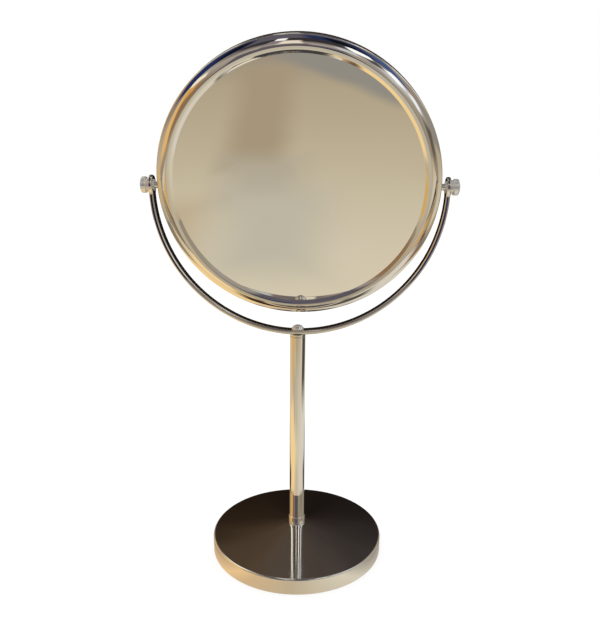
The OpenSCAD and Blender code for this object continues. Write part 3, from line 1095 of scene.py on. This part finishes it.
# Painted reflections, patch by patch: walls, windows, shelves, lamps and a figure
PAINTED_ROOM_PATCHES = [
    # The bright wall to the left: painted wood, an orange stretch and a painted strip of daylight
    ((-140, -66, -10, 20), 8, (186, 152, 108), 0),
    ((-104, -66, -10, 26), 8, (222, 176, 110), 0),
    ((-67, -38, -10, 15), 8, (140, 108, 74), 0),
    ((-70, -55, 11, 22), 5, (205, 152, 78), -0.3),
    ((-72, -54, 20, 27), 3, (240, 228, 200), -0.9),
    # The wall to the right, and pale blinds under the windows
    ((38, 76, 11, 30), 8, (190, 187, 180), 0),
    ((62, 80, -12, 4), 6, (95, 88, 76), 0),
    ((78, 100, 18, 60), 6, (220, 220, 220), 0),
    # Dark shelves above, with pale gaps and a lamp between them
    ((-46, 29, 42, 62), 4, (52, 48, 50), 0),
    ((-24, -12, 39, 47), 3, (130, 120, 124), 0),
    ((-13, -1, 29, 46), 3, (226, 214, 194), 0),
    ((-22, -13, 48, 58), 2, (250, 246, 240), 0),
    ((-20, 2, 23, 29), 3, (108, 96, 92), 0),
    ((17, 30, 27, 37), 3, (192, 194, 192), 0),
    # Windows, with dark frames between them
    ((37, 50, 27, 37), 3, (76, 76, 74), 0),
    ((32, 48, 37, 48), 1.5, (255, 255, 252), 0),
    ((50, 62, 19, 32), 1.5, (250, 250, 250), 0),
    ((61, 70, 8, 19), 1.5, (235, 235, 236), 0),
    ((50, 62, 46, 58), 2, (225, 225, 225), 0),
    # The figure straight ahead
    ((-33, 19, -24, 25), 6, (90, 85, 93), 0),
    ((-32, -13, -24, 3), 3, (34, 46, 88), 0),
    ((-19, -13, -24, 1), 2, (18, 20, 34), 0),
    ((-1, 13, -24, 2), 3, (36, 46, 78), 0),
    ((3, 9, -24, 0), 2, (16, 18, 26), 0),
    ((13, 20, -20, -2), 3, (62, 84, 130), 0),
    # The pale wall behind the left shoulder, the pale ceiling, and painted lamp glints on it
    ((-150, -86, 34, 56), 6, (242, 238, 214), 0),
    ((-200, 200, 77, 95), 4, (98, 98, 101), 0),
    ((40, 62, 56, 63), 2, (235, 225, 208), 0),
    ((-82, -62, 50, 57), 3, (235, 225, 208), 0),
]
for sides, soft, colour, slant in PAINTED_ROOM_PATCHES:
    room = dome_paint.patch(room, across, up, sides, soft, colour, slant)

# Painted lamp glints overhead, boxes in metres, to the right and away, on the dome's top; they
# glow in reflections only and light nothing
PAINTED_GLINT_SOFT = 0.05
PAINTED_LAMP_GLINTS = [
    ((-0.46, -0.06, -0.25, 0.42), (255, 253, 246)), ((0.84, 1.12, -0.30, 0.15), (240, 230, 210)),
    ((-1.20, -0.98, -0.35, 0.05), (242, 218, 170)),
]
for sides, colour in PAINTED_LAMP_GLINTS:
    room = dome_paint.patch(room, x, y, sides, PAINTED_GLINT_SOFT, colour)

bm = bmesh.new()
bmesh.ops.create_uvsphere(bm, u_segments=DOME_SEGMENTS, v_segments=DOME_RINGS, radius=DOME_R)
dome = stage_object("room_dome_painted_reflections", bm, dome_paint.finish(room))
dome.location = DOME_CENTRE
only_reflected(dome)

# %% The table top of painted reflections
TABLE_LEFT, TABLE_RIGHT = -0.9, 0.9
TABLE_NEAR, TABLE_FAR = -0.95, 0.8
TABLE_LIFT = 0.2 * MM
# In millimetres: between these the wood by the base gives way to the stretch before it
WOOD_END, AHEAD_START = -105, -165
# In millimetres from the stem: the band of painted reflection close round the base is full up to
# the first of these and gone from the second on
BESIDE_END, BESIDE_START = 72, 86

# The table top glows with painted reflections of warm wood, seen only by the chrome; it lights
# nothing.
table_paint = Paint("room_table_painted_reflections")
x, y, _ = table_paint.place()
x = table_paint.math("DIVIDE", x, MM)
y = table_paint.math("DIVIDE", y, MM)
reach = table_paint.math("SQRT", table_paint.math(
    "ADD", table_paint.math("MULTIPLY", x, x), table_paint.math("MULTIPLY", y, y)
))
wavy_x = table_paint.swim(x, scale=8, reach=24)
wavy_y = table_paint.swim(y, scale=9, reach=24)
wood = table_paint.ramp(wavy_x, -500, 500, [
    (-500, (205, 184, 150)), (-180, (210, 189, 154)), (-60, (206, 186, 154)), (0, (192, 177, 150)),
    (60, (208, 199, 180)), (230, (213, 204, 190)), (300, (150, 140, 128)), (350, (76, 68, 64)),
])
ahead = table_paint.ramp(wavy_y, -950, -150, [
    (-950, (125, 118, 112)), (-720, (150, 137, 120)), (-620, (170, 155, 128)),
    (-520, (176, 161, 134)), (-420, (184, 170, 143)), (-340, (193, 180, 154)),
    (-250, (201, 189, 164)), (-170, (206, 194, 168)),
])
top = table_paint.mix(table_paint.step(wavy_y, WOOD_END, AHEAD_START), wood, ahead)
# Painted reflection for the base's wall: orange-cream at the front left, pale to the right, darker
# towards both ends
beside_painted_reflection = table_paint.ramp(x, -70, 70, [
    (-68, (110, 88, 64)), (-58, (195, 164, 126)), (-46, (232, 194, 142)), (-34, (207, 176, 133)),
    (0, (190, 173, 144)), (44, (212, 203, 182)), (58, (166, 158, 144)), (68, (118, 110, 98)),
])
TABLE_PATCHES = [
    ((-330, -130, -330, -110), 70, (184, 166, 136), 0),
    ((-118, -42, -680, -400), 50, (160, 143, 116), 0),
    ((-112, -20, -425, -330), 80, (172, 162, 143), 0),
    ((-105, 5, -350, -205), 90, (183, 175, 156), 0),
    ((-130, 900, -1000, -540), 50, (140, 134, 124), 1.2),
    ((-640, -325, -400, -20), 110, (206, 166, 100), 0),
    ((-260, -60, -150, 100), 50, (240, 206, 146), 0),
    ((-110, -10, 20, 200), 50, (52, 40, 30), 0),
    ((10, 120, 20, 200), 50, (80, 72, 64), 0),
]
for sides, soft, colour, slant in TABLE_PATCHES:
    top = table_paint.patch(top, wavy_x, wavy_y, sides, soft, colour, slant)
top = table_paint.mix(table_paint.step(reach, BESIDE_START, BESIDE_END), top, beside_painted_reflection)
table = stage_plane(
    "room_table_painted_reflections", (TABLE_LEFT, TABLE_NEAR), (TABLE_RIGHT, TABLE_FAR), TABLE_LIFT,
    table_paint.finish(top),
)
only_reflected(table)
